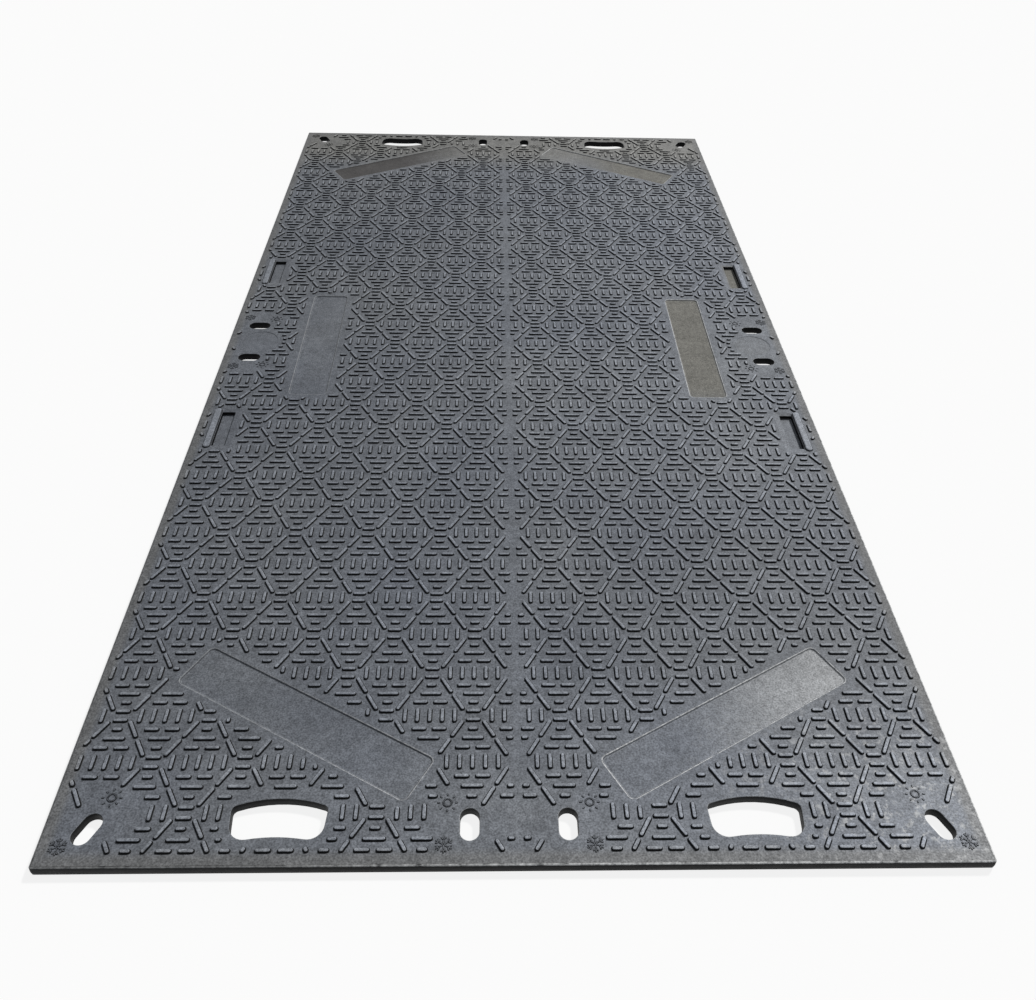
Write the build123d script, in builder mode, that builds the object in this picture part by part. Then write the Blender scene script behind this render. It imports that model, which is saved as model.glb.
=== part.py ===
"""Ground protection mat: one moulded plate with a tread on its top face.

Units are millimetres. The mat lies flat with its underside on Z = 0. X runs across its
width, Y along its length, and the origin is the middle of the underside.
"""
import math
import os

from build123d import *

# Plate
mat_width = 1200.0
mat_length = 2400.0
plate_thickness = 15.0
corner_cut = 3.0
parting_height = 6.0
edge_draft = 4.0
rim_break = 1.2

# Hand holes near both ends, arched, with the crown towards the middle of the mat
handle_spread = 615.0
handle_end_inset = 37.5
handle_width = 124.0
handle_height = 57.0
handle_crown = 11.5
handle_dip = 3.5
handle_foot_drop = 4.5
handle_side_lean = 4.0
handle_inner_round = 8.0
handle_outer_round = 20.0

# Fixing slots through the plate
slot_length = 45.0
slot_width = 25.0
end_slot_spread = 126.4
end_slot_inset = 57.0
side_slot_spread = 126.0
side_slot_inset = 54.6
corner_slot_side_inset = 55.3
corner_slot_end_inset = 53.0
corner_slot_turn = 64.5

# Sunk panels: four leaning ones at the ends and two long ones in the middle
panel_length = 393.0
panel_width = 75.5
panel_depth = 2.5
panel_corner = 9.0
panel_wall_lean = 45.0
end_panel_spread = 600.0
end_panel_inset = 219.5
end_panel_turn = -30.0
long_panel_spread = 810.0

# Marking pockets beside the long edges, each with a raised guard strip outside it
pocket_spread = 620.0
pocket_edge_inset = 40.0
pocket_length = 105.0
pocket_width = 25.0
pocket_depth = 8.0
dish_depth = 1.5
dish_end_run = 10.0
dish_inner_run = 11.0
strip_gap = 1.0
strip_length = 123.5
strip_width = 14.0
strip_height = 3.0
strip_lean = 22.0

# Round marks in the middle of the long edges
disc_radius = 38.0
disc_edge_inset = 66.0
disc_depth = 0.8
disc_line_margin = 13.5

# Tread lattice: leaning ridges that close into rows of diamonds
column_pitch = 61.03
row_pitch = 75.05
ridge_length = 65.0
ridge_width = 5.0
ridge_height = 3.0
ridge_turn = 60.0
shortest_ridge = 30.0
tread_side_margin = 12.5
tread_end_margin = 19.0
centre_strip = 12.0
feature_margin = 11.0
pocket_margin = 1.5

# Bare fields around the fixing slots, left free for the marks beside them
end_field_reach = 118.5
end_field_near = 39.5
end_field_far = 83.0
end_slot_field = 54.0
slot_field_near = 14.0
end_stub_reach = 96.0
end_stub_far = 109.0
corner_field_reach = 115.0
corner_field_outer = 38.0
corner_field_far = 105.0
corner_stub_outer = 34.0
corner_stub_reach = 79.0
corner_stub_far = 117.0
corner_slot_field = 76.0
corner_slot_field_far = 81.0
side_field_outer = 19.5
side_field_reach = 81.0
side_field_near = 36.0
side_field_far = 119.5
mark_radius = 16.0
end_mark_x = 92.5
end_mark_inset = 87.5
end_low_mark_x = 95.5
low_mark_inset = 29.0
corner_mark_edge_inset = 74.0
corner_mark_inset = 97.0
corner_low_mark_edge_inset = 27.0
side_mark_edge_inset = 87.0
side_mark_y = 91.0
side_low_mark_edge_inset = 28.0
side_low_mark_y = 97.0

# Places worked out from the sizes above
half_width = mat_width / 2
half_length = mat_length / 2
top = plate_thickness
handle_end_y = half_length - handle_end_inset
end_slot_y = half_length - end_slot_inset
side_slot_x = half_width - side_slot_inset
corner_slot_x = half_width - corner_slot_side_inset
corner_slot_y = half_length - corner_slot_end_inset
end_panel_y = half_length - end_panel_inset
pocket_outer_x = half_width - pocket_edge_inset
pocket_x = pocket_outer_x - pocket_width / 2
strip_x = pocket_outer_x + strip_gap + strip_width / 2
disc_x = half_width - disc_edge_inset
pocket_y = pocket_spread / 2
dish_width = pocket_width + dish_inner_run
dish_x = pocket_outer_x - dish_width / 2
quarters = [(1, 1), (-1, 1), (-1, -1), (1, -1)]


def box_zone(x0, x1, y0, y1, reach=0.0):
    """A bare field given by its corners in the first quarter of the mat."""
    return ((x0 + x1) / 2, (y0 + y1) / 2, (x1 - x0) / 2, (y1 - y0) / 2, 0.0, reach)


def round_zone(x, y, radius):
    """A round bare field in the first quarter of the mat."""
    return (x, y, 0.0, 0.0, 0.0, radius)


# Each zone is a rectangle and how far the bare field reaches around it
panel_core = panel_length / 2 - panel_corner, panel_width / 2 - panel_corner
panel_reach = panel_corner + feature_margin
zones = [
    box_zone(handle_spread / 2 - handle_width / 2 + handle_outer_round,
             handle_spread / 2 + handle_width / 2 - handle_outer_round,
             handle_end_y - handle_height + handle_outer_round,
             handle_end_y - handle_outer_round,
             handle_outer_round + feature_margin),
    (end_panel_spread / 2, end_panel_y, *panel_core, end_panel_turn, panel_reach),
    (long_panel_spread / 2, 0.0, *panel_core, 90.0, panel_reach),
    round_zone(disc_x, 0.0, disc_radius + feature_margin),
    box_zone(disc_x, half_width, 0.0, disc_line_margin),
    box_zone(pocket_outer_x - pocket_width - dish_inner_run, strip_x + strip_width / 2,
             pocket_y - strip_length / 2, pocket_y + strip_length / 2,
             pocket_margin),
    box_zone(0.0, end_field_reach, half_length - end_field_far, half_length - end_field_near),
    box_zone(end_slot_spread / 2 - end_slot_field / 2, end_slot_spread / 2 + end_slot_field / 2,
             half_length - end_field_far, half_length - slot_field_near),
    box_zone(end_slot_spread / 2, end_stub_reach, half_length - end_stub_far, half_length - end_field_far),
    round_zone(end_mark_x, half_length - end_mark_inset, mark_radius),
    round_zone(end_low_mark_x, half_length - low_mark_inset, mark_radius),
    box_zone(half_width - corner_field_reach, half_width - corner_field_outer,
             half_length - corner_field_far, half_length - end_field_near),
    box_zone(half_width - corner_stub_reach, half_width - corner_stub_outer,
             half_length - corner_stub_far, half_length - corner_field_far),
    box_zone(half_width - corner_slot_field, half_width,
             half_length - corner_slot_field_far, half_length - slot_field_near),
    round_zone(half_width - corner_mark_edge_inset, half_length - corner_mark_inset, mark_radius),
    round_zone(half_width - corner_low_mark_edge_inset, half_length - low_mark_inset, mark_radius),
    box_zone(half_width - side_field_reach, half_width - side_field_outer,
             side_field_near, side_field_far),
    round_zone(half_width - side_mark_edge_inset, side_mark_y, mark_radius),
    round_zone(half_width - side_low_mark_edge_inset, side_low_mark_y, mark_radius),
]


def is_bare(x, y):
    """True where no ridge may stand: the margins, the middle strip and the bare fields."""
    x, y = abs(x), abs(y)
    half = ridge_width / 2
    if x > half_width - tread_side_margin - half or y > half_length - tread_end_margin - half:
        return True
    if x < centre_strip / 2 + half:
        return True
    for cx, cy, half_u, half_v, turn, reach in zones:
        c, s = math.cos(math.radians(turn)), math.sin(math.radians(turn))
        u = (x - cx) * c + (y - cy) * s
        v = (y - cy) * c - (x - cx) * s
        away = math.hypot(max(abs(u) - half_u, 0.0), max(abs(v) - half_v, 0.0))
        if away < reach + half:
            return True
    return False


def clear_runs(x, y, turn, length):
    """The stretches of one ridge that stand clear, as middles and lengths."""
    c, s = math.cos(math.radians(turn)), math.sin(math.radians(turn))
    steps = round(length)
    stations = [length * (k / steps - 0.5) for k in range(steps + 1)]
    runs, start = [], None
    for k, t in enumerate(stations):
        clear = not is_bare(x + t * c, y + t * s)
        if clear and start is None:
            start = t
        if start is not None and (not clear or k == steps):
            end = t if clear else stations[k - 1]
            if end - start + ridge_width >= shortest_ridge:
                runs.append((x + (start + end) / 2 * c, y + (start + end) / 2 * s, end - start))
            start = None
    return runs


def ridge_places():
    """All ridges of the tread, grouped by their length."""
    groups = {}
    columns = math.ceil(half_width / column_pitch)
    rows = math.ceil(half_length / row_pitch)
    for i in range(-columns, columns):
        for j in range(-rows, rows):
            turn = ridge_turn if (i + j) % 2 == 0 else -ridge_turn
            middle = (i + 0.5) * column_pitch, (j + 0.5) * row_pitch
            for x, y, length in clear_runs(*middle, turn, ridge_length - ridge_width):
                place = Location((x, y, 0), (0, 0, turn))
                groups.setdefault(round(length + ridge_width, 1), []).append(place)
    return groups


# The plate widens from both faces to the parting line around its edge
with BuildPart() as ground_mat:
    with BuildSketch(Plane.XY.offset(parting_height)) as outline:
        Rectangle(mat_width, mat_length)
        chamfer(outline.vertices(), length=corner_cut)
    extrude(amount=plate_thickness - parting_height, taper=edge_draft)
    extrude(outline.sketch, amount=-parting_height, taper=edge_draft)
    rims = ground_mat.edges().group_by(Axis.Z)
    chamfer(rims[-1] + rims[0], length=rim_break)

    # Arched hand holes and fixing slots, right through the plate
    with BuildSketch() as hand_holes:
        with BuildLine():
            foot = handle_width / 2 - handle_side_lean
            foot_y = handle_end_y + handle_foot_drop
            shoulder_y = handle_end_y - handle_height + handle_crown
            middle = handle_spread / 2
            crown = ThreePointArc(
                (middle - handle_width / 2, shoulder_y),
                (middle, handle_end_y - handle_height),
                (middle + handle_width / 2, shoulder_y),
            )
            grip = ThreePointArc(
                (middle - foot, foot_y),
                (middle, handle_end_y - handle_dip),
                (middle + foot, foot_y),
            )
            Line(crown @ 0, grip @ 0)
            Line(crown @ 1, grip @ 1)
        make_face()
        fillet(hand_holes.vertices().group_by(Axis.Y)[0], radius=handle_inner_round)
        fillet(hand_holes.vertices().group_by(Axis.Y)[-1], radius=handle_outer_round)
        mirror(about=Plane.YZ)
        mirror(about=Plane.XZ)
    extrude(amount=plate_thickness, mode=Mode.SUBTRACT)
    with BuildSketch():
        with Locations((end_slot_spread / 2, end_slot_y)):
            SlotOverall(slot_length, slot_width, rotation=90)
        with Locations((side_slot_x, side_slot_spread / 2)):
            SlotOverall(slot_length, slot_width)
        with Locations((corner_slot_x, corner_slot_y)):
            SlotOverall(slot_length, slot_width, rotation=corner_slot_turn)
        mirror(about=Plane.YZ)
        mirror(about=Plane.XZ)
    extrude(amount=plate_thickness, mode=Mode.SUBTRACT)

    # Sunk panels with leaning walls
    with BuildSketch(Plane.XY.offset(top)):
        with Locations((end_panel_spread / 2, end_panel_y)):
            RectangleRounded(panel_length, panel_width, panel_corner, rotation=end_panel_turn)
        mirror(about=Plane.XZ)
        with Locations((long_panel_spread / 2, 0)):
            RectangleRounded(panel_width, panel_length, panel_corner)
        mirror(about=Plane.YZ)
    extrude(amount=-panel_depth, taper=panel_wall_lean, mode=Mode.SUBTRACT)

    # Round marks
    with BuildSketch(Plane.XY.offset(top)):
        with Locations((disc_x, 0)):
            Circle(disc_radius)
        mirror(about=Plane.YZ)
    extrude(amount=-disc_depth, mode=Mode.SUBTRACT)

    # Pockets, each a steep recess in the floor of a shallow dish
    for sx, sy in quarters:
        with BuildSketch(Plane.XY.offset(top)):
            with Locations((sx * dish_x, sy * pocket_y)):
                Rectangle(dish_width, pocket_length + 2 * dish_end_run)
        with BuildSketch(Plane.XY.offset(top - dish_depth)):
            with Locations((sx * pocket_x, sy * pocket_y)):
                Rectangle(pocket_width, pocket_length)
        loft(mode=Mode.SUBTRACT)
    with BuildSketch(Plane.XY.offset(top - dish_depth)):
        with Locations((pocket_x, pocket_y)):
            Rectangle(pocket_width, pocket_length)
        mirror(about=Plane.YZ)
        mirror(about=Plane.XZ)
    extrude(amount=dish_depth - pocket_depth, mode=Mode.SUBTRACT)

    # Raised guard strips outside the pockets
    with BuildSketch(Plane.XY.offset(top)):
        with Locations((strip_x, pocket_y)):
            SlotOverall(strip_length, strip_width, rotation=90)
        mirror(about=Plane.YZ)
        mirror(about=Plane.XZ)
    extrude(amount=strip_height, taper=strip_lean)

    # Tread ridges
    with BuildSketch(Plane.XY.offset(top)):
        for length, places in ridge_places().items():
            with Locations(*places):
                Rectangle(length, ridge_width)
    extrude(amount=ridge_height)

ground_mat.part.label = "ground_mat"

os.makedirs("parts", exist_ok=True)
export_step(ground_mat.part, "parts/ground_mat.step")
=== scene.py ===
"""Looks of the ground protection mat: the moulded plate with every bar of its tread.

Outlines and heights are in millimetres and become metres when a mesh is made. X runs
across the mat, Y along it and Z up from its underside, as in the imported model.
"""
import math

import bpy
import numpy as np
from mathutils import Euler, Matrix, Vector
from mathutils.geometry import delaunay_2d_cdt


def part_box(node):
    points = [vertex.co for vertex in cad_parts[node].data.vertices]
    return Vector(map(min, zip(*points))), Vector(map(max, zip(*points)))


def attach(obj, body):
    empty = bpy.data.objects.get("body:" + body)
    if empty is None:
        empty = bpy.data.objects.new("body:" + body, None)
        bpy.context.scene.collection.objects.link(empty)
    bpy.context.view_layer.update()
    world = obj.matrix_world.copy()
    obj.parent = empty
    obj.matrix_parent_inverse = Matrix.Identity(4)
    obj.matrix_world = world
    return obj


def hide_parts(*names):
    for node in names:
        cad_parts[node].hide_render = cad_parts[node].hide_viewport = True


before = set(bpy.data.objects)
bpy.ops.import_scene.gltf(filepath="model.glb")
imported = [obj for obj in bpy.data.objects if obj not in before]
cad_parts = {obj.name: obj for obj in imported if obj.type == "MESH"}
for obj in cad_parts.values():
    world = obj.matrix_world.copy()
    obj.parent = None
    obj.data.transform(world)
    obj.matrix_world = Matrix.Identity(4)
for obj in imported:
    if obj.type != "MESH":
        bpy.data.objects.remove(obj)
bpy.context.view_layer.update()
low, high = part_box("ground_mat")
MM = 0.001

# Plate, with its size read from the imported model
half_width = high.x / MM
half_length = high.y / MM
bar_height = 3.0
top = high.z / MM - bar_height
parting_height = 6.0
corner_radius = 4.0
wall_lean = math.tan(math.radians(4.0))
lip_round = 1.5
lip_bead = (1.6, 0.9, 0.1)
bead_height = 0.2
parting_step = 0.25
foot_round = 1.0

# Openings through the plate
hole_round = 1.2
handle_x = 307.5
handle_half_width = 62.0
handle_crown = (half_length + 78.4, 172.9)
handle_crown_end = 71.05
handle_inner = (53.5, half_length - 77.5, 8.0)
handle_outer = (39.9, half_length - 57.6, 20.0)
handle_outer_end = 99.8
handle_grip = (half_length + 173.25, 214.25)
handle_side_lean = 4.6
slot_length = 45.0
slot_width = 25.0
end_slot = (63.2, half_length - 57.0, 90.0)
side_slot = (half_width - 54.6, 63.0, 0.0)
corner_slot = (half_width - 55.3, half_length - 53.0, 64.5)

# Sunk panels, pockets and round marks
panel_size = (393.0, 75.5)
panel_corner = 9.0
panel_depth = 2.5
end_panel = (300.0, half_length - 219.5, -30.0)
long_panel_x = 405.0
pocket_y = 310.0
pocket_outer_x = half_width - 40.0
pocket_size = (25.0, 105.0)
pocket_corner = 1.5
pocket_depth = 8.0
dish_corner = 7.0
dish_depth = 1.5
dish_end_run = 10.0
dish_inner_run = 11.0
strip_size = (14.0, 123.5)
strip_x = pocket_outer_x + 8.0
disc_x = half_width - 66.0
disc_radius = 38.0
disc_depth = 0.8

# Tread: bars around the nodes of a lattice, given by their overall lengths
column_pitch = 61.03
row_pitch = 75.05
bar_width = 5.0
rungs = ((7.5, 9.75), (22.5, 6.5), (37.5, 14.5))
split_rung_y = 52.5
split_rung_x = 14.0
split_rung_half = 9.7
upright_pitch = 17.4
upright_half = 11.5
leaning_from = (14.2, 9.5)
leaning_to = (46.8, 65.5)
leaning_gap = 4.0
side_border = 12.5
end_border = 19.0
middle_strip = 12.0
feature_margin = 11.0
shortest_bar = 6.0
tread_pieces = 6

# Signs beside the slots
sign_margin = 16.0
sun_ring = 5.4
sun_dash = (10.6, 12.6)
snow_arm = 11.0
snow_fork = 6.5
snow_twig = 4.0

# View and light
camera_place = (-0.041, -1.7978, 1.1394)
camera_turn = (48.77, -1.34, -1.15)
camera_lens = 33.55
sun_towards = (0.65, 0.75, 1.0)
sun_energy = 3.4
sun_spread = 7.0
sky_light = 0.22

SIGNS = ((1, 1), (-1, 1), (-1, -1), (1, -1))


def quarter(place):
    """A place (x, y, turn) repeated in the four quarters of the mat, mirrored."""
    x, y, turn = place
    return [(sx * x, sy * y, sx * sy * turn) for sx, sy in SIGNS]


def place_points(points, x, y, turn):
    """Points of an outline turned about the origin and moved to (x, y)."""
    c, s = math.cos(math.radians(turn)), math.sin(math.radians(turn))
    return np.asarray(points) @ np.array([[c, s], [-s, c]]) + (x, y)


def arc(cx, cy, radius, start, end, steps):
    """Points of an arc, angles in degrees."""
    angles = np.radians(np.linspace(start, end, steps + 1))
    return [(cx + radius * math.cos(a), cy + radius * math.sin(a)) for a in angles]


def rounded_box(width, length, radius, steps=6):
    """Outline of a box with round corners about the origin, counter-clockwise."""
    x, y = width / 2 - radius, length / 2 - radius
    return (arc(x, y, radius, 0, 90, steps) + arc(-x, y, radius, 90, 180, steps)
            + arc(-x, -y, radius, 180, 270, steps) + arc(x, -y, radius, 270, 360, steps))


def capsule(length, width, steps=14):
    """Outline of a slot with round ends, its length along X."""
    x, radius = (length - width) / 2, width / 2
    return arc(x, 0, radius, -90, 90, steps) + arc(-x, 0, radius, 90, 270, steps)


def hand_hole():
    """Outline of one hand hole in the first quarter, crown towards the middle of the mat."""
    crown_y, crown_radius = handle_crown
    grip_y, grip_radius = handle_grip
    inner_x, inner_y, inner_radius = handle_inner
    outer_x, outer_y, outer_radius = handle_outer
    lean, crown_end, outer_end = handle_side_lean, handle_crown_end, handle_outer_end
    crown = arc(handle_x, crown_y, crown_radius, crown_end - 180, -crown_end, 9)
    grip = arc(handle_x, grip_y, grip_radius, outer_end - 180, -outer_end, 7)
    right = arc(handle_x + inner_x, inner_y, inner_radius, -crown_end, lean, 5)
    right += arc(handle_x + outer_x, outer_y, outer_radius, lean, outer_end, 8)
    left = arc(handle_x - outer_x, outer_y, outer_radius, 180 - outer_end, 180 - lean, 8)
    left += arc(handle_x - inner_x, inner_y, inner_radius, 180 - lean, 180 + crown_end, 5)
    return crown[1:-1] + right + grip[1:-1] + left


def mirrored_outline(points, sx, sy):
    """An outline mirrored into another quarter, still counter-clockwise."""
    points = np.asarray(points) * (sx, sy)
    return points if sx * sy > 0 else points[::-1]


def inset(points, distance):
    """A counter-clockwise outline moved inwards by a distance."""
    points = np.asarray(points, float)
    ahead = np.roll(points, -1, 0) - points
    ahead /= np.linalg.norm(ahead, axis=1, keepdims=True)
    back = np.roll(ahead, 1, 0)
    normal = np.stack([-(ahead + back)[:, 1], (ahead + back)[:, 0]], 1)
    normal /= np.linalg.norm(normal, axis=1, keepdims=True)
    cosine = np.abs((normal * np.stack([-ahead[:, 1], ahead[:, 0]], 1)).sum(1, keepdims=True))
    return points + normal * distance / np.maximum(cosine, 0.5)


class Skin:
    """Collects the loops and faces of one mesh, in millimetres."""

    def __init__(self):
        self.verts, self.faces, self.smooth, self.wear_and_glint = [], [], [], []

    def loop(self, points, z, wear_and_glint=0.0):
        """Adds a closed row of points at one height and returns their numbers."""
        start = len(self.verts)
        self.verts += [(x, y, z) for x, y in points]
        self.wear_and_glint += [wear_and_glint] * len(points)
        return list(range(start, len(self.verts)))

    def band(self, a, b):
        """Smooth faces between two rows with the same number of points."""
        for k in range(len(a)):
            self.faces.append((a[k - 1], a[k], b[k], b[k - 1]))
            self.smooth.append(True)

    def cap(self, row):
        """One flat face inside a row of points."""
        self.faces.append(tuple(row))
        self.smooth.append(False)

    def sheet(self, rows, upward):
        """A flat face inside the first row, with the other rows cut out of it."""
        numbers = [n for row in rows for n in row]
        flat = [Vector(self.verts[n][:2]) for n in numbers]
        loops, start = [], 0
        for row in rows:
            loops.append(list(range(start, start + len(row))))
            start += len(row)
        _, _, faces, sources, _, origins = delaunay_2d_cdt(flat, [], loops, 0, 1e-5)
        for face, origin in zip(faces, origins):
            if origin == [0]:
                face = [numbers[sources[n][0]] for n in face]
                self.faces.append(tuple(face if upward else reversed(face)))
                self.smooth.append(False)

    def sweep(self, points, profile):
        """Rows that follow an outline through a profile of (inset, height, paleness) steps; the paleness
        stands for rubbed edges and a painted highlight.
        """
        rows = [self.loop(inset(points, step), z, wear_and_glint) for step, z, wear_and_glint in profile]
        for upper, lower in zip(rows, rows[1:]):
            self.band(upper, lower)
        return rows

    def object(self, name):
        """The mesh as a Blender object in metres."""
        mesh = bpy.data.meshes.new(name)
        mesh.from_pydata((np.array(self.verts) * MM).tolist(), [], self.faces)
        mesh.polygons.foreach_set("use_smooth", self.smooth)
        mesh.attributes.new("wear_and_glint", "FLOAT", "POINT").data.foreach_set("value", self.wear_and_glint)
        mesh.update()
        piece = bpy.data.objects.new(name, mesh)
        bpy.context.collection.objects.link(piece)
        return piece


def quarter_round(radius, wear_and_glint, steps=4):
    """Steps of a convex edge from the flat top face into a wall, as (inset, height, paleness); the paleness
    stands for rubbed edges and a painted highlight.
    """
    angles = np.linspace(0, math.pi / 2, steps + 1)
    rows_rubbed_and_glinting = [0.0] + [wear_and_glint] * (steps - 1) + [0.0]
    return [(radius * (math.sin(a) - 1), top - radius * (1 - math.cos(a)), w)
            for a, w in zip(angles, rows_rubbed_and_glinting)]


def plate():
    """The plate with its rim, openings, panels, pockets and round marks."""
    skin = Skin()
    outline = rounded_box(2 * half_width, 2 * half_length, corner_radius)
    upper_lean = (top - parting_height) * wall_lean
    lower_lean = parting_height * wall_lean
    flat = upper_lean + lip_round
    # The bead and the lip rounding are pale: rubbed edges and a painted highlight.
    rim = [(flat + lip_bead[0], top, 0.0), (flat + lip_bead[1], top + bead_height, 0.5),
           (flat + lip_bead[2], top + bead_height, 1.0)]
    rim += [(upper_lean - step, z, wear_and_glint) for step, z, wear_and_glint in quarter_round(lip_round, 1.0)[1:]]
    rim += [(0.0, parting_height, 0.0), (parting_step, parting_height - 0.3, 0.0)]
    rim += [(lower_lean, foot_round, 0.0), (lower_lean + 0.3 * foot_round, 0.3 * foot_round, 0.0)]
    rim += [(lower_lean + foot_round, 0.0, 0.0)]
    rows = [skin.loop(inset(outline, step), z, wear_and_glint) for step, z, wear_and_glint in rim]
    for upper, lower in zip(rows, rows[1:]):
        skin.band(lower, upper)
    top_rows, bottom_rows = [rows[0]], [rows[-1]]

    # Hole edges are a little pale: rubbed edges and a painted highlight.
    through = quarter_round(hole_round, 0.3) + [(0.0, foot_round, 0.0), (-foot_round, 0.0, 0.0)]
    holes = [mirrored_outline(hand_hole(), sx, sy) for sx, sy in SIGNS]
    for place in (end_slot, side_slot, corner_slot):
        holes += [place_points(capsule(slot_length, slot_width), *spot) for spot in quarter(place)]
    for hole in holes:
        rows = skin.sweep(hole, through)
        top_rows.append(rows[0])
        bottom_rows.append(rows[-1])

    floor = top - panel_depth
    # The panel edges are pale: rubbed edges and a painted highlight.
    sunk = [(-1.0, top, 0.0), (-0.4, top - 0.05, 0.9), (0.4, top - 0.4, 0.9), (0.9, top - 0.9, 0.0),
            (panel_depth - 0.6, floor + 0.4, 0.0), (panel_depth, floor + 0.1, 0.3),
            (panel_depth + 0.7, floor, 0.0)]
    panel_spots = quarter(end_panel) + [(sx * long_panel_x, 0, 90) for sx in (1, -1)]
    panels = [place_points(rounded_box(*panel_size, panel_corner), *spot) for spot in panel_spots]
    for panel in panels:
        rows = skin.sweep(panel, sunk)
        top_rows.append(rows[0])
        skin.cap(rows[-1])

    floor = top - disc_depth
    step = [(-0.3, top, 0.0), (0.0, top - 0.1, 0.0), (0.3, floor + 0.15, 0.0), (0.7, floor, 0.0)]
    for sx in (1, -1):
        rows = skin.sweep(arc(sx * disc_x, 0, disc_radius, 0, 355, 71), step)
        top_rows.append(rows[0])
        skin.cap(rows[-1])

    for sx, sy in SIGNS:
        top_rows.append(pocket(skin, sx, sy))
    skin.sheet(top_rows, True)
    skin.sheet(bottom_rows, False)
    return skin.object("mat_plate")


def pocket(skin, sx, sy):
    """A steep recess in a shallow dish. Returns the row where the dish meets the top face."""
    width, length = pocket_size
    dish_width = width + dish_inner_run
    dish_x = pocket_outer_x - dish_width / 2
    recess_x = pocket_outer_x - width / 2
    dish = rounded_box(dish_width, length + 2 * dish_end_run, dish_corner)
    dish = place_points(dish, dish_x, pocket_y, 0)
    recess = place_points(rounded_box(width, length, pocket_corner), recess_x, pocket_y, 0)
    dish, recess = mirrored_outline(dish, sx, sy), mirrored_outline(recess, sx, sy)
    rows = [skin.loop(inset(dish, -0.5), top), skin.loop(inset(dish, 0.3), top - 0.25)]
    rows += [skin.loop(inset(recess, -0.8), top - dish_depth + 0.1)]
    floor = top - pocket_depth
    for step, z in ((-0.2, top - dish_depth - 0.15), (0.1, top - dish_depth - 0.8), (0.4, floor + 0.7),
                    (0.6, floor + 0.2), (1.2, floor)):
        rows.append(skin.loop(inset(recess, step), z))
    for upper, lower in zip(rows, rows[1:]):
        skin.band(upper, lower)
    skin.cap(rows[-1])
    return rows[0]


def bare_fields():
    """The fields without tread in the first quarter, as boxes with round reach.

    Each is (x, y, half x, half y, turn, reach)."""
    def corners(x0, x1, y0, y1, reach=0.0):
        return ((x0 + x1) / 2, (y0 + y1) / 2, (x1 - x0) / 2, (y1 - y0) / 2, 0.0, reach)

    core = panel_size[0] / 2 - panel_corner, panel_size[1] / 2 - panel_corner
    around_panel = panel_corner + feature_margin
    end, side = half_length, half_width
    fields = [
        corners(handle_x - handle_half_width + 20, handle_x + handle_half_width - 20,
                end - 74.5, end - 57.5, 20 + feature_margin),
        (end_panel[0], end_panel[1], *core, end_panel[2], around_panel),
        (long_panel_x, 0.0, *core, 90.0, around_panel),
        (disc_x, 0.0, 0.0, 0.0, 0.0, disc_radius + feature_margin),
        corners(disc_x, side, 0.0, 14.0),
        corners(side - 77.5, side - 21.5, 245.0, 376.0),
        corners(0.0, 118.5, end - 83, end - 39.5),
        corners(36.0, 90.0, end - 83, end - 14),
        corners(72.0, 96.0, end - 109, end - 83),
        corners(side - 115, side - 38, end - 105, end - 39.5),
        corners(side - 76, side, end - 81, end - 10),
        corners(side - 79, side - 34, end - 117, end - 103),
        corners(side - 81, side - 19.5, 36.0, 119.5),
    ]
    fields += [(x, y, 0.0, 0.0, 0.0, sign_margin) for x, y in sun_places() + snow_places()]
    return fields


def sun_places():
    """Middles of the sun signs in the first quarter."""
    return [(92.5, half_length - 87.5), (half_width - 74, half_length - 97), (half_width - 87, 91.0)]


def snow_places():
    """Middles of the snow signs in the first quarter."""
    return [(95.5, half_length - 29), (half_width - 27, half_length - 29), (half_width - 28, 97.0)]


def is_bare(x, y, fields):
    """True where the middle line of a bar may not run."""
    x, y = abs(x), abs(y)
    half = bar_width / 2
    if x > half_width - side_border - half or y > half_length - end_border - half:
        return True
    if x < (middle_strip + bar_width) / 2:
        return True
    for cx, cy, half_u, half_v, turn, reach in fields:
        dx, dy = x - cx, y - cy
        if turn:
            c, s = math.cos(math.radians(turn)), math.sin(math.radians(turn))
            dx, dy = dx * c + dy * s, dy * c - dx * s
        away_u, away_v = max(abs(dx) - half_u, 0.0), max(abs(dy) - half_v, 0.0)
        if math.hypot(away_u, away_v) < reach + half:
            return True
    return False


def lattice_bars():
    """Middle lines of all bars of the lattice before they are cut, as (x0, y0, x1, y1)."""
    half = bar_width / 2
    (ax, ay), (bx, by) = leaning_from, leaning_to
    run = math.hypot(bx - ax, by - ay)
    ux, uy = (bx - ax) / run, (by - ay) / run
    piece = (run - leaning_gap) / 2
    bars = []
    columns = int(half_width / column_pitch) + 2
    rows = int(half_length / row_pitch) + 2
    for i in range(-columns, columns + 1):
        for j in range(-rows, rows + 1):
            if (i + j) % 2:
                continue
            x, y = i * column_pitch, j * row_pitch
            for side in (-1, 1):
                for offset, reach in rungs:
                    height = y + side * offset
                    bars.append((x - reach + half, height, x + reach - half, height))
                for across in (-1, 1):
                    middle, reach = x + across * split_rung_x, split_rung_half - half
                    height = y + side * split_rung_y
                    bars.append((middle - reach, height, middle + reach, height))
                for start in (half, run - piece + half):
                    end = start + piece - 2 * half
                    bars.append((x + side * (ax + ux * start), y + ay + uy * start,
                                 x + side * (ax + ux * end), y + ay + uy * end))
            for k in range(-2, 3):
                reach = upright_half - half
                bars.append((x + k * upright_pitch, y + row_pitch - reach,
                             x + k * upright_pitch, y + row_pitch + reach))
    return bars


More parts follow.
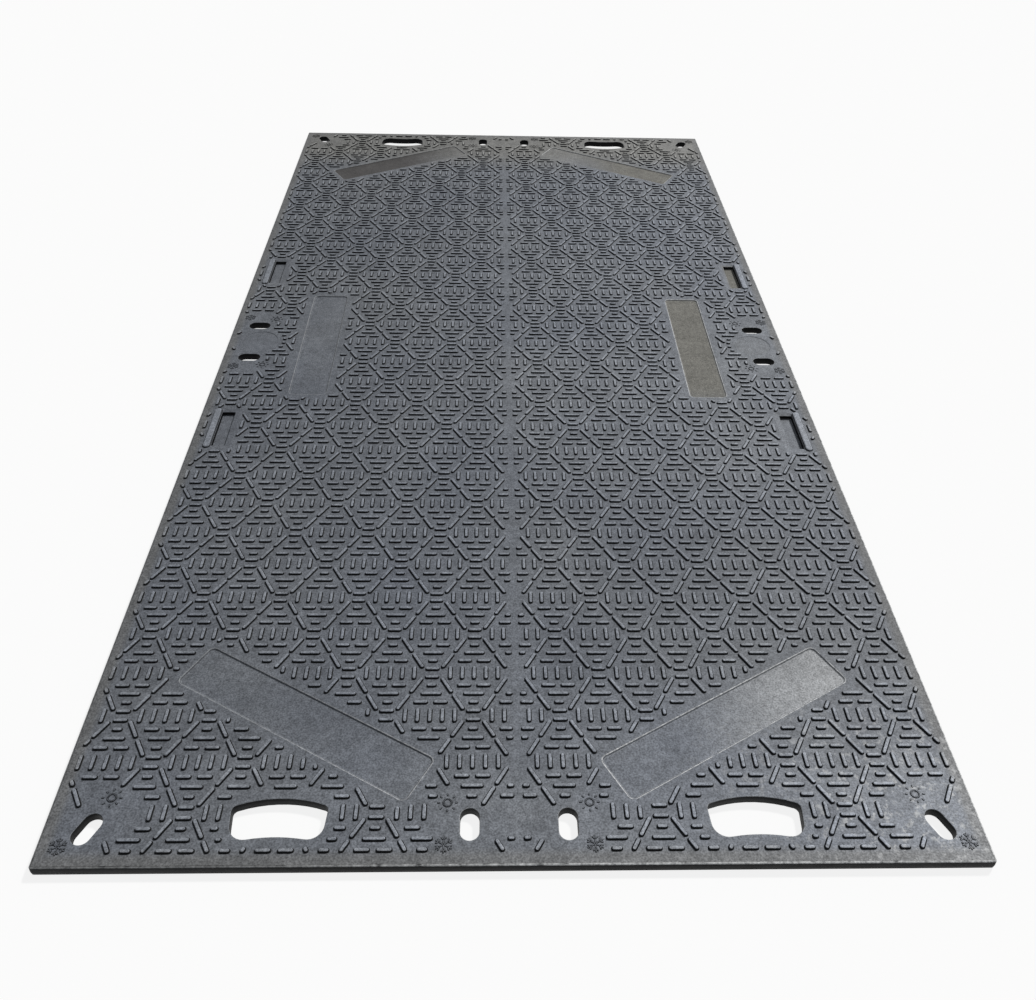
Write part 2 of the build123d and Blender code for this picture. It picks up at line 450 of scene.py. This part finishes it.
def clear_bars():
    """The stretches of the lattice's bars that stand clear of the bare fields."""
    fields = bare_fields()
    kept = []
    for x0, y0, x1, y1 in lattice_bars():
        run_x, run_y = x1 - x0, y1 - y0
        length = math.hypot(run_x, run_y)
        steps = max(2, round(length * 2))
        stations = [k / steps for k in range(steps + 1)]
        clear = [not is_bare(x0 + run_x * t, y0 + run_y * t, fields) for t in stations]
        k = 0
        while k <= steps:
            if not clear[k]:
                k += 1
                continue
            start = k
            while k < steps and clear[k + 1]:
                k += 1
            a, b = stations[start], stations[k]
            if (b - a) * length + bar_width >= shortest_bar:
                kept.append((x0 + run_x * a, y0 + run_y * a, x0 + run_x * b, y0 + run_y * b))
            k += 1
    return kept


def bar_mesh(name, bars, profile, steps=5):
    """Raised bars with round ends along middle lines.

    The profile holds (radius, height) steps, lowest first."""
    bars = np.array(bars)
    start, end = bars[:, :2], bars[:, 2:]
    along = end - start
    length = np.linalg.norm(along, axis=1, keepdims=True)
    along = along / np.maximum(length, 1e-6)
    across = np.stack([-along[:, 1], along[:, 0]], 1)
    angles = np.radians(np.linspace(-90, 90, steps + 1))
    rows = []
    for radius, height in profile:
        for middle, sign in ((end, 1), (start, -1)):
            for a in angles:
                point = middle + sign * radius * (math.cos(a) * along + math.sin(a) * across)
                rows.append(np.column_stack([point, np.full(len(bars), height)]))
    verts = np.stack(rows, 1)
    around, levels = 2 * (steps + 1), len(profile)
    verts = verts.reshape(-1, 3)
    quads = []
    for level in range(levels - 1):
        for k in range(around):
            a, b = level * around + k, level * around + (k + 1) % around
            quads.append((a, b, b + around, a + around))
    lid = [(levels - 1) * around + k for k in range(around)]
    faces, smooth = [], []
    for n in range(len(bars)):
        first = n * around * levels
        faces += [tuple(first + v for v in quad) for quad in quads]
        faces.append(tuple(first + v for v in lid))
        smooth += [True] * len(quads) + [False]
    mesh = bpy.data.meshes.new(name)
    mesh.from_pydata((verts * MM).tolist(), [], faces)
    mesh.polygons.foreach_set("use_smooth", smooth)
    mesh.update()
    piece = bpy.data.objects.new(name, mesh)
    bpy.context.collection.objects.link(piece)
    return piece


def tread():
    """All bars of the tread with a thin foot around each, in pieces along the mat."""
    half = bar_width / 2
    # The first two steps are a thin foot lying on the top face; the material paints it near black as shade
    # in the crease.
    profile = [(half + 1.5, top - 0.03), (half + 1.2, top + 0.12), (half + 0.2, top + 0.3),
               (half, top + bar_height - 1.1),
               (half - 0.3, top + bar_height - 0.4), (half - 1.1, top + bar_height)]
    bars = sorted(clear_bars(), key=lambda bar: bar[1] + bar[3])
    share = math.ceil(len(bars) / tread_pieces)
    return [bar_mesh(f"tread_{k + 1}", bars[k * share:(k + 1) * share], profile)
            for k in range(tread_pieces)]


def guard_strips():
    """The raised strips outside the pockets."""
    width, length = strip_size
    reach, half = (length - width) / 2, width / 2
    lines = [(sx * strip_x, sy * pocket_y - reach, sx * strip_x, sy * pocket_y + reach) for sx, sy in SIGNS]
    # The foot and low wall come out near black in the material, as painted crease shade.
    profile = [(half + 0.8, top - 0.05), (half, top + 0.5), (half - 0.7, top + 1.9),
               (half - 1.7, top + 2.7), (half - 3.2, top + bar_height)]
    return bar_mesh("guard_strips", lines, profile, 12)


def signs():
    """Small raised suns and snow stars beside the slots."""
    bars = []

    def spoke(x, y, angle, start, end):
        """Adds a bar along a ray."""
        c, s = math.cos(angle), math.sin(angle)
        bars.append((x + start * c, y + start * s, x + end * c, y + end * s))

    for sx, sy in SIGNS:
        for x, y in sun_places():
            for k in range(8):
                spoke(sx * x, sy * y, k * math.pi / 4, *sun_dash)
            ring = arc(sx * x, sy * y, sun_ring, 0, 360, 16)
            bars += [(*a, *b) for a, b in zip(ring, ring[1:])]
        for x, y in snow_places():
            for k in range(6):
                angle = k * math.pi / 3 + math.pi / 2
                spoke(sx * x, sy * y, angle, 0.0, snow_arm)
                fork = (sx * x + snow_fork * math.cos(angle), sy * y + snow_fork * math.sin(angle))
                for side in (-1, 1):
                    spoke(*fork, angle + side * math.pi / 4, 0.0, snow_twig)
    return bar_mesh("weather_signs", bars, [(1.3, top - 0.05), (1.0, top + 0.7), (0.6, top + 0.95)], 3)


class Shading:
    """Shorthand for the nodes of one material. Places are in metres."""

    def __init__(self, material):
        self.nodes, self.links = material.node_tree.nodes, material.node_tree.links
        self.place = self.nodes.new("ShaderNodeTexCoord").outputs["Object"]

    def split(self, vector):
        """The three parts of a vector."""
        node = self.nodes.new("ShaderNodeSeparateXYZ")
        self.links.new(vector, node.inputs["Vector"])
        return node.outputs

    def noise(self, scale, detail=4.0, roughness=0.55):
        """Cloudy noise, scale in waves per metre."""
        node = self.nodes.new("ShaderNodeTexNoise")
        node.inputs["Scale"].default_value = scale
        node.inputs["Detail"].default_value = detail
        node.inputs["Roughness"].default_value = roughness
        self.links.new(self.place, node.inputs["Vector"])
        return node.outputs["Fac"]

    def ramp(self, value, dark, light):
        """A colour between two as a noise goes from 0.3 to 0.7."""
        node = self.nodes.new("ShaderNodeValToRGB")
        for element, position, colour in zip(node.color_ramp.elements, (0.3, 0.7), (dark, light)):
            element.position = position
            element.color = (*colour, 1.0)
        self.links.new(value, node.inputs["Fac"])
        return node.outputs["Color"]

    def plain(self, colour):
        """One colour."""
        node = self.nodes.new("ShaderNodeRGB")
        node.outputs[0].default_value = (*colour, 1.0)
        return node.outputs[0]

    def mix(self, share, a, b):
        """A colour that goes from a to b as the share grows."""
        node = self.nodes.new("ShaderNodeMix")
        node.data_type = "RGBA"
        self.links.new(share, node.inputs["Factor"])
        self.links.new(a, node.inputs["A"])
        self.links.new(b, node.inputs["B"])
        return node.outputs["Result"]

    def past(self, value, start, end):
        """A soft step from 0 at the start to 1 at the end."""
        node = self.nodes.new("ShaderNodeMapRange")
        node.interpolation_type = "SMOOTHSTEP"
        node.inputs["From Min"].default_value = start
        node.inputs["From Max"].default_value = end
        self.links.new(value, node.inputs["Value"])
        return node.outputs["Result"]

    def spread(self, value, low, high):
        """A noise stretched to run between two numbers."""
        node = self.nodes.new("ShaderNodeMapRange")
        node.inputs["From Min"].default_value = 0.25
        node.inputs["From Max"].default_value = 0.75
        node.inputs["To Min"].default_value = low
        node.inputs["To Max"].default_value = high
        self.links.new(value, node.inputs["Value"])
        return node.outputs["Result"]

    def sum(self, a, b, operation="ADD"):
        """Two values joined by a sum or another operation."""
        node = self.nodes.new("ShaderNodeMath")
        node.operation = operation
        for socket, value in zip(node.inputs, (a, b)):
            if isinstance(value, (int, float)):
                socket.default_value = value
            else:
                self.links.new(value, socket)
        return node.outputs[0]

    def product(self, *factors):
        """All factors multiplied."""
        total = factors[0]
        for factor in factors[1:]:
            total = self.sum(total, factor, "MULTIPLY")
        return total

    def raised(self, amount, value):
        """1 plus an amount of the value."""
        return self.sum(self.sum(value, amount, "MULTIPLY"), 1.0)

    def times(self, colour, factor):
        """A colour made lighter or darker."""
        node = self.nodes.new("ShaderNodeVectorMath")
        node.operation = "SCALE"
        self.links.new(colour, node.inputs["Vector"])
        self.links.new(factor, node.inputs["Scale"])
        return node.outputs["Vector"]


def plastic():
    """Dark grey moulded polyethylene: dusty on top, with painted sheen and painted shade on the top face,
    and near black on its walls and the feet of the bars, partly the plastic's own black and partly painted
    shade.
    """
    material = bpy.data.materials.new("moulded_plastic")
    material.use_nodes = True
    make = Shading(material)
    nodes, links = make.nodes, make.links
    shader = nodes["Principled BSDF"]
    normal = nodes.new("ShaderNodeNewGeometry").outputs["Normal"]
    upward = make.past(make.split(normal)["Z"], 0.45, 0.85)
    metres_up = make.split(make.place)["Z"]
    # Zero in a thin band just above the top face, where the feet and low walls of the bars and strips are
    # painted near black as shade in the creases; the low signs fall in it too.
    off_shaded_foot = make.sum(make.past(metres_up, 0.01512, 0.01503),
                        make.past(metres_up, 0.0157, 0.0161), "MAXIMUM")
    # Near black tone of steep walls and of the feet of the bars: partly the plastic's own black, partly
    # painted shade. Faces turned up take the dusty tone instead.
    wall_black_and_shade = make.ramp(make.noise(11.0), (0.004, 0.0043, 0.005), (0.007, 0.0074, 0.008))
    bare = make.mix(make.product(upward, off_shaded_foot), wall_black_and_shade, dust_and_painted_light_tone(make))
    # Pale scuffed places: rubbed lip rows with a painted highlight, and scratches at the near right corner.
    scuffs_and_glints = worn_and_glinting_places(make, upward, off_shaded_foot)
    pale = make.ramp(make.noise(200.0), (0.26, 0.265, 0.27), (0.80, 0.81, 0.82))
    links.new(make.mix(scuffs_and_glints, bare, pale), shader.inputs["Base Color"])
    links.new(make.spread(make.noise(30.0), 0.42, 0.54), shader.inputs["Roughness"])
    shader.inputs["Specular IOR Level"].default_value = 0.06
    bump = nodes.new("ShaderNodeBump")
    bump.inputs["Strength"].default_value = 0.5
    bump.inputs["Distance"].default_value = 0.0004
    links.new(make.noise(300.0, 3.0), bump.inputs["Height"])
    links.new(bump.outputs["Normal"], shader.inputs["Normal"])
    return material


def dust_and_painted_light_tone(make):
    """The colour of the top face: dust with its large and small changes of tone, and painted sheen and
    painted shade.
    """
    across, along, height = make.split(make.place)
    far_end = make.past(along, 0.9, 1.08)
    near_end = make.past(along, -1.0, -1.1)
    on_rim = make.sum(make.past(make.sum(across, 0.0, "ABSOLUTE"), 0.576, 0.590),
                      make.past(make.sum(along, 0.0, "ABSOLUTE"), 1.172, 1.190), "MAXIMUM")
    tone = make.ramp(make.noise(3.0), (0.107, 0.1165, 0.136), (0.128, 0.136, 0.149))
    tone = make.mix(make.product(far_end, 0.8), tone, make.plain((0.142, 0.140, 0.132)))
    tone = make.mix(make.product(on_rim, 0.8), tone, make.plain((0.118, 0.119, 0.120)))

    # Panel floors: browner on the right, a painted sheen at the near right, dull at the far left
    sunk = make.past(height, 0.0146, 0.0128)
    brown = make.product(sunk, make.past(across, 0.2, 0.35), make.past(along, -0.3, -0.15))
    panel_sheen = make.product(sunk, make.past(across, 0.22, 0.5), make.past(along, -0.6, -0.7))
    dull = make.product(sunk, make.past(across, -0.1, -0.3), make.past(along, 0.6, 0.8))
    tone = make.mix(brown, tone, make.plain((0.106, 0.104, 0.095)))
    tone = make.mix(panel_sheen, tone, make.plain((0.255, 0.262, 0.272)))
    tone = make.mix(dull, tone, make.plain((0.052, 0.050, 0.050)))

    # Lighter at the near end, a painted sheen at the near right corner and a painted shade over the rest of
    # the near right, then grain
    tone = make.times(tone, make.raised(0.10, near_end))
    near_right_sheen = make.product(near_end, make.past(across, 0.35, 0.6))
    tone = make.times(tone, make.raised(0.25, near_right_sheen))
    near_right_shade = make.product(make.past(along, -0.3, -0.65), make.past(along, -1.0, -0.85),
                          make.past(across, -0.1, 0.25))
    tone = make.times(tone, make.raised(-0.17, near_right_shade))
    grains = (22.0, 4.0, 0.86, 1.14), (110.0, 2.0, 0.80, 1.20), (420.0, 2.0, 0.5, 1.5)
    for scale, detail, low, high in grains:
        tone = make.times(tone, make.spread(make.noise(scale, detail), low, high))
    # Bar tops lighter: partly rubbed, partly a painted highlight.
    tone = make.times(tone, make.raised(0.6, make.past(height, 0.0170, 0.0178)))
    # Lighter towards the right: a painted sheen from the light on that side.
    return make.times(tone, make.raised(0.50, make.past(across, -0.5, 0.6)))


def worn_and_glinting_places(make, upward, off_shaded_foot):
    """Where the plastic is scuffed pale: the lip rows by the paleness set on them, with a painted highlight
    that is fainter to the left, and scratches at the near right corner.
    """
    across, along, _ = make.split(make.place)
    wear_and_glint = make.nodes.new("ShaderNodeAttribute")
    wear_and_glint.attribute_name = "wear_and_glint"
    patchy = make.past(make.noise(60.0), 0.25, 0.48)
    # Pale lip rows: rubbed edges and a painted highlight, cut to a quarter on the left.
    lip_wear_and_glint = make.product(wear_and_glint.outputs["Fac"], patchy, make.raised(-0.75, make.past(across, 0.1, -0.4)))
    corner = make.product(make.past(across, 0.15, 0.55), make.past(along, -0.85, -1.1))
    scratches = make.past(make.noise(70.0, 8.0, 0.75), 0.53, 0.60)
    scratched = make.product(corner, upward, off_shaded_foot, scratches, 0.6)
    return make.sum(lip_wear_and_glint, scratched, "MAXIMUM")


def camera():
    """The photograph's view."""
    data = bpy.data.cameras.new("photo_camera")
    data.sensor_width = 36.0
    data.lens = camera_lens
    eye = bpy.data.objects.new("photo_camera", data)
    eye.location = camera_place
    eye.rotation_euler = Euler([math.radians(angle) for angle in camera_turn])
    data.clip_end = 100.0
    bpy.context.collection.objects.link(eye)
    bpy.context.scene.camera = eye


def seen_directly(nodes, links):
    """1 for what the camera, a reflection or a clear thing sees, and 0 for falling light."""
    path = nodes.new("ShaderNodeLightPath")
    total = path.outputs["Is Camera Ray"]
    for name in ("Is Glossy Ray", "Is Transmission Ray"):
        node = nodes.new("ShaderNodeMath")
        node.operation = "MAXIMUM"
        links.new(total, node.inputs[0])
        links.new(path.outputs[name], node.inputs[1])
        total = node.outputs[0]
    return total


def floor():
    """A plain pale floor that shows nearly white and keeps the mat's shadow."""
    bpy.ops.mesh.primitive_plane_add(size=60.0, location=(0, 0, 0))
    ground = bpy.context.object
    ground.name = "studio_floor"
    material = bpy.data.materials.new("pale_floor")
    material.use_nodes = True
    nodes, links = material.node_tree.nodes, material.node_tree.links
    nodes.remove(nodes["Principled BSDF"])
    lit = nodes.new("ShaderNodeBsdfDiffuse")
    lit.inputs["Color"].default_value = (0.8, 0.8, 0.8, 1.0)
    white = nodes.new("ShaderNodeEmission")
    white.inputs["Color"].default_value = (1.0, 1.0, 1.0, 1.0)
    white.inputs["Strength"].default_value = 1.0
    share = nodes.new("ShaderNodeMath")
    share.operation = "MULTIPLY"
    share.inputs[1].default_value = 0.85
    links.new(seen_directly(nodes, links), share.inputs[0])
    both = nodes.new("ShaderNodeMixShader")
    links.new(share.outputs[0], both.inputs["Fac"])
    links.new(lit.outputs["BSDF"], both.inputs[1])
    links.new(white.outputs["Emission"], both.inputs[2])
    links.new(both.outputs["Shader"], nodes["Material Output"].inputs["Surface"])
    ground.data.materials.append(material)


def lights():
    """Soft daylight from above and a broad light from the far right."""
    world = bpy.data.worlds.new("sky")
    world.use_nodes = True
    nodes, links = world.node_tree.nodes, world.node_tree.links
    sky = nodes["Background"]
    sky.inputs["Color"].default_value = (0.90, 0.95, 1.0, 1.0)
    sky.inputs["Strength"].default_value = sky_light
    white = nodes.new("ShaderNodeBackground")
    white.inputs["Color"].default_value = (1.0, 1.0, 1.0, 1.0)
    white.inputs["Strength"].default_value = 1.0
    both = nodes.new("ShaderNodeMixShader")
    links.new(seen_directly(nodes, links), both.inputs["Fac"])
    links.new(sky.outputs["Background"], both.inputs[1])
    links.new(white.outputs["Background"], both.inputs[2])
    links.new(both.outputs["Shader"], nodes["World Output"].inputs["Surface"])
    bpy.context.scene.world = world
    data = bpy.data.lights.new("key_sun", "SUN")
    data.energy = sun_energy
    data.angle = math.radians(sun_spread)
    data.color = (1.0, 0.985, 0.96)
    lamp = bpy.data.objects.new("key_sun", data)
    lamp.rotation_euler = (-Vector(sun_towards)).to_track_quat("-Z", "Y").to_euler()
    bpy.context.collection.objects.link(lamp)


bpy.context.scene.view_settings.view_transform = "Standard"
material = plastic()
pieces = [plate(), guard_strips(), signs(), *tread()]
for piece in pieces:
    piece.data.materials.append(material)
    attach(piece, "root")
    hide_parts("ground_mat")
floor()
lights()
camera()
